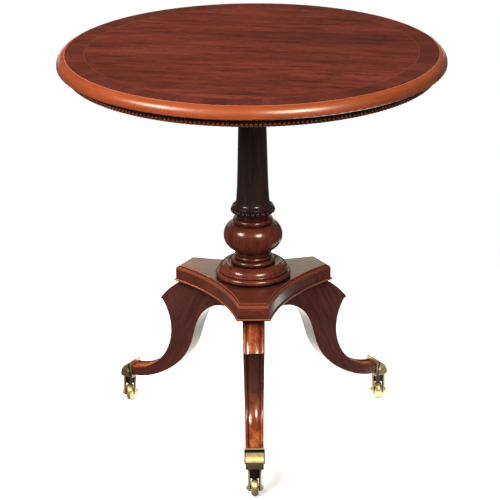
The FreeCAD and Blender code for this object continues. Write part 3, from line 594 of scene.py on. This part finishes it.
# %% Metals
# dark patina for the brass's tight corners, also laid as painted shade by the casters' masks
PATINA_AND_SHADE = (0.022, 0.019, 0.015)
BRIGHT_BRASS = (0.80, 0.61, 0.30)
DULL_BRASS = (0.36, 0.25, 0.10)


def metal(name, bright, dull, rough, scale, left_black=None, body=0.62):
    """Worn metal, cloudy with patina; left_black gives the share of black, partly painted shade, at each
    point.
    """
    finish = Finish(name)
    cloud = finish.noise(finish.place, scale, 5.0, 0.6)
    speck = finish.noise(finish.place, scale * 9, 3.0, 0.6)
    mottle = finish.weigh(0.7, cloud, speck)
    colour = finish.ramp(mottle, (0.36, dull), (0.58, bright))
    colour = finish.mix(finish.in_corners(0.005, (0.35, 0.92), (0.85, 0.0)), colour, PATINA_AND_SHADE)
    if left_black:
        # Painted shade: black where the mask says, in the patina's colour.
        colour = finish.mix(left_black(finish), colour, PATINA_AND_SHADE)
    return finish.shade({
        "Base Color": colour,
        "Roughness": finish.spread(mottle, rough + 0.22, rough),
        "Metallic": body,
        "Normal": finish.bump(speck, 0.00006),
    })


def antique_brass(name, rough=0.2, **more):
    """Brass with brown clouds of patina."""
    return metal(name, BRIGHT_BRASS, DULL_BRASS, rough, 45.0, **more)


brass = antique_brass("antique_brass")
wheel_brass = antique_brass("wheel_brass", 0.24, body=0.76)
iron = metal("blackened_iron", (0.16, 0.15, 0.14), (0.05, 0.045, 0.04), 0.4, 60.0)
put_on(iron, "bearer_screws", "pivot_pins", "tie_rod", "tie_washer", "tie_nut")
put_on(brass, "catch_plate", "catch_screws", "catch_bolt", "bolt_knob", "strike_plate", "strike_screws",
       "cup_screws")
print("fittings finished")


# %% [markdown]
# ## Casters
# On the casters black is painted in some places: behind each cup's nose; under its lip and, in part, on its
# flanks, as painted shade; and as painted shade on each fork's crown and the insides of its arms. Masks say
# where.

# %% Casters
NOSE_BAND = (0.2615, 0.2665)  # distances out from the column, at floor level
NOSE_SLOPE = 0.13  # how far the nose leans out for each unit of height
LIP_BAND = (0.0544, 0.0665)  # levels under the bright edge of the lip
FORK_HALF_WIDTH = 0.0093  # the arms' outer faces lie beyond this


def cup_black_and_shade(finish, azimuth):
    """Black behind the cup's nose, painted shade under its lip, and half black as painted shade on its
    flanks.
    """
    out, side = leg_directions(azimuth)
    level = finish.number(finish.place, 2)
    lean = finish.math("MULTIPLY", level, NOSE_SLOPE)
    upright = finish.math("SUBTRACT", finish.reach(finish.place, out), lean)
    nose = finish.between(upright, *NOSE_BAND)
    # Painted shade: black under the lip.
    lip = finish.math("MULTIPLY", finish.between(level, *LIP_BAND), 0.82)
    # Painted shade: half black on the flanks, by which way a point faces.
    flank = finish.ramp(finish.facing(side), (0.85, 0.0), (0.95, 0.62))
    return finish.math("MAXIMUM", finish.math("MAXIMUM", nose, lip), flank)


def fork_shade(finish, leg):
    """Painted shade: black on the fork's crown and on the insides of its arms."""
    low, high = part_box(f"caster_yoke_{leg}")
    middle = (low[0] + high[0]) / 2
    off = finish.math("ABSOLUTE", finish.math("SUBTRACT", finish.number(finish.place, 0), middle))
    return finish.math("LESS_THAN", off, FORK_HALF_WIDTH)


for leg, azimuth in LEGS.items():
    cup_brass = antique_brass(f"cup_brass_{leg}", left_black=lambda f: cup_black_and_shade(f, azimuth))
    fork_brass = antique_brass(f"fork_brass_{leg}", left_black=lambda f: fork_shade(f, leg))
    put_on(cup_brass, f"caster_cup_{leg}")
    put_on(fork_brass, f"caster_yoke_{leg}")
    put_on(wheel_brass, f"caster_wheel_{leg}", f"caster_axle_{leg}")
print(len(LEGS), "casters finished")


# %% [markdown]
# ## The studio floor
# The floor is one wide, pale sheet that glows a little, so that it stays even. Polished wood shows what
# stands round it, and a whole white floor would lay a grey veil over every face. So the sheet takes
# shadows, but it isn't mirrored in the polish and it doesn't light the wood from below.

# %% Floor
def studio_floor(radius):
    """Wide round floor under the table."""
    mesh = bmesh.new()
    bmesh.ops.create_circle(mesh, cap_ends=True, segments=64, radius=radius)
    piece = new_piece("studio_floor", mesh)
    piece.visible_diffuse = False
    piece.visible_glossy = False
    piece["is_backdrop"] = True
    return piece


paper = Finish("studio_paper")
paper.shade({
    "Base Color": paper.ramp(paper.noise(paper.place, 3.0, 2.0), (0.3, 0.90), (0.7, 0.94)),
    "Roughness": 0.9,
    "Specular IOR Level": 0.0,
    "Emission Color": (1, 1, 1, 1),
    "Emission Strength": 0.35,
})
paper_sheet = studio_floor(1.0)
paper_sheet.data.materials.append(paper.material)
print("floor laid")


# %% [markdown]
# ## The lights
# Two jobs are kept apart. Warm, small softboxes only show as shine on the polish: one well to the left and
# one nearer the right, placed by the highlights that they leave on the column's bulb. Larger, whiter ones
# only light the wood, and aren't mirrored in it. A low card behind the table shines along the top, and a
# patch of light on the floor is mirrored by the hollow undersides of the legs.

# %% Lights
MIDDLE = Vector((0, 0, 0.45))  # where the softboxes aim
SOFT = (1.0, 0.96, 0.90)
WARM = (1.0, 0.86, 0.68)


def area_lamp(name, width, tall, watts, tint):
    """Rectangular lamp that the camera doesn't see."""
    light = bpy.data.lights.new(name, "AREA")
    light.shape = "RECTANGLE"
    light.size = width
    light.size_y = tall
    light.energy = watts
    light.color = tint
    lamp = new_object(name, light)
    lamp.visible_camera = False
    return lamp


def softbox(name, azimuth, elevation, distance, width, tall, watts, tint):
    """Lamp aimed at the table's middle; azimuth 0 is the front, and 90 is the right."""
    lamp = area_lamp(name, width, tall, watts, tint)
    turn = math.radians(azimuth)
    rise = math.radians(elevation)
    away = Vector((math.sin(turn) * math.cos(rise), -math.cos(turn) * math.cos(rise), math.sin(rise)))
    lamp.location = MIDDLE + away * distance
    lamp.rotation_euler = away.to_track_quat("Z", "Y").to_euler()
    return lamp


softbox("shine_right", 27, 38, 3.2, 1.0, 0.85, 165, WARM).visible_diffuse = False
softbox("shine_left", -58, 37, 3.2, 1.0, 0.75, 125, WARM).visible_diffuse = False
softbox("key_left", -40, 38, 3.2, 2.2, 1.8, 170, SOFT).visible_glossy = False
softbox("fill_right", 35, 25, 3.2, 1.4, 1.1, 33, SOFT).visible_glossy = False
softbox("top_light", -150, 62, 2.4, 1.6, 1.2, 37, SOFT).visible_glossy = False
softbox("back_card", 182, 12, 1.1, 1.5, 0.15, 1.6, WARM)

floor_shine = area_lamp("floor_shine", 0.85, 0.6, 3.9, (1.0, 0.95, 0.88))
floor_shine.location = (0.18, 0.35, 0.002)
floor_shine.rotation_euler = (math.pi, 0, 0)
floor_shine.visible_diffuse = False
print(len(bpy.data.lights), "lights")


# %% [markdown]
# ## The air
# The room has three brightnesses. Polish mirrors a dim one, so that its highlights stay clear; bare colour
# is lit by a somewhat brighter one; and only the eye sees it white. Light Path tells the rays apart.

# %% Air
world = bpy.data.worlds.new("studio_air")
bpy.context.scene.world = world
world.use_nodes = True
air = Wiring(world.node_tree)
rays = air.add("LightPath").outputs
lit = air.math("MULTIPLY", rays["Is Diffuse Ray"], 0.16)
seen = air.math("MULTIPLY", rays["Is Camera Ray"], 0.88)
background = air.tree.nodes["Background"].inputs
air.feed(background["Strength"], air.math("ADD", air.math("ADD", lit, seen), 0.12))
air.feed(background["Color"], (1, 1, 1, 1))
bpy.context.scene.view_settings.view_transform = "Standard"
print("room lit")


# %% [markdown]
# ## The eye
# The table is seen from the front by someone who stands four metres off and looks down at it. A long lens
# keeps the near edge of the top from swelling.

# %% Camera
STAND = (0, -3.9142, 1.8443)
TURNED_LEFT = 0.086  # degrees
LOOKS_DOWN = 20.714
TILTED = -0.4356

eye = bpy.data.cameras.new("camera")
eye.lens = 161.38
eye.sensor_width = 36
camera = new_object("camera", eye)
pan = Matrix.Rotation(math.radians(TURNED_LEFT), 4, "Z")
pitch = Matrix.Rotation(math.radians(90 - LOOKS_DOWN), 4, "X")
roll = Matrix.Rotation(math.radians(TILTED), 4, "Z")
camera.matrix_world = Matrix.Translation(STAND) @ pan @ pitch @ roll
bpy.context.scene.camera = camera
print("camera stands at", STAND)

# %% Keep both sizes and finish
both = {"cad": cad_size, "visual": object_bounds()}
for key, box in both.items():
    both[key] = [[round(value, 5) for value in corner] for corner in box]
print("sizes kept:", both)
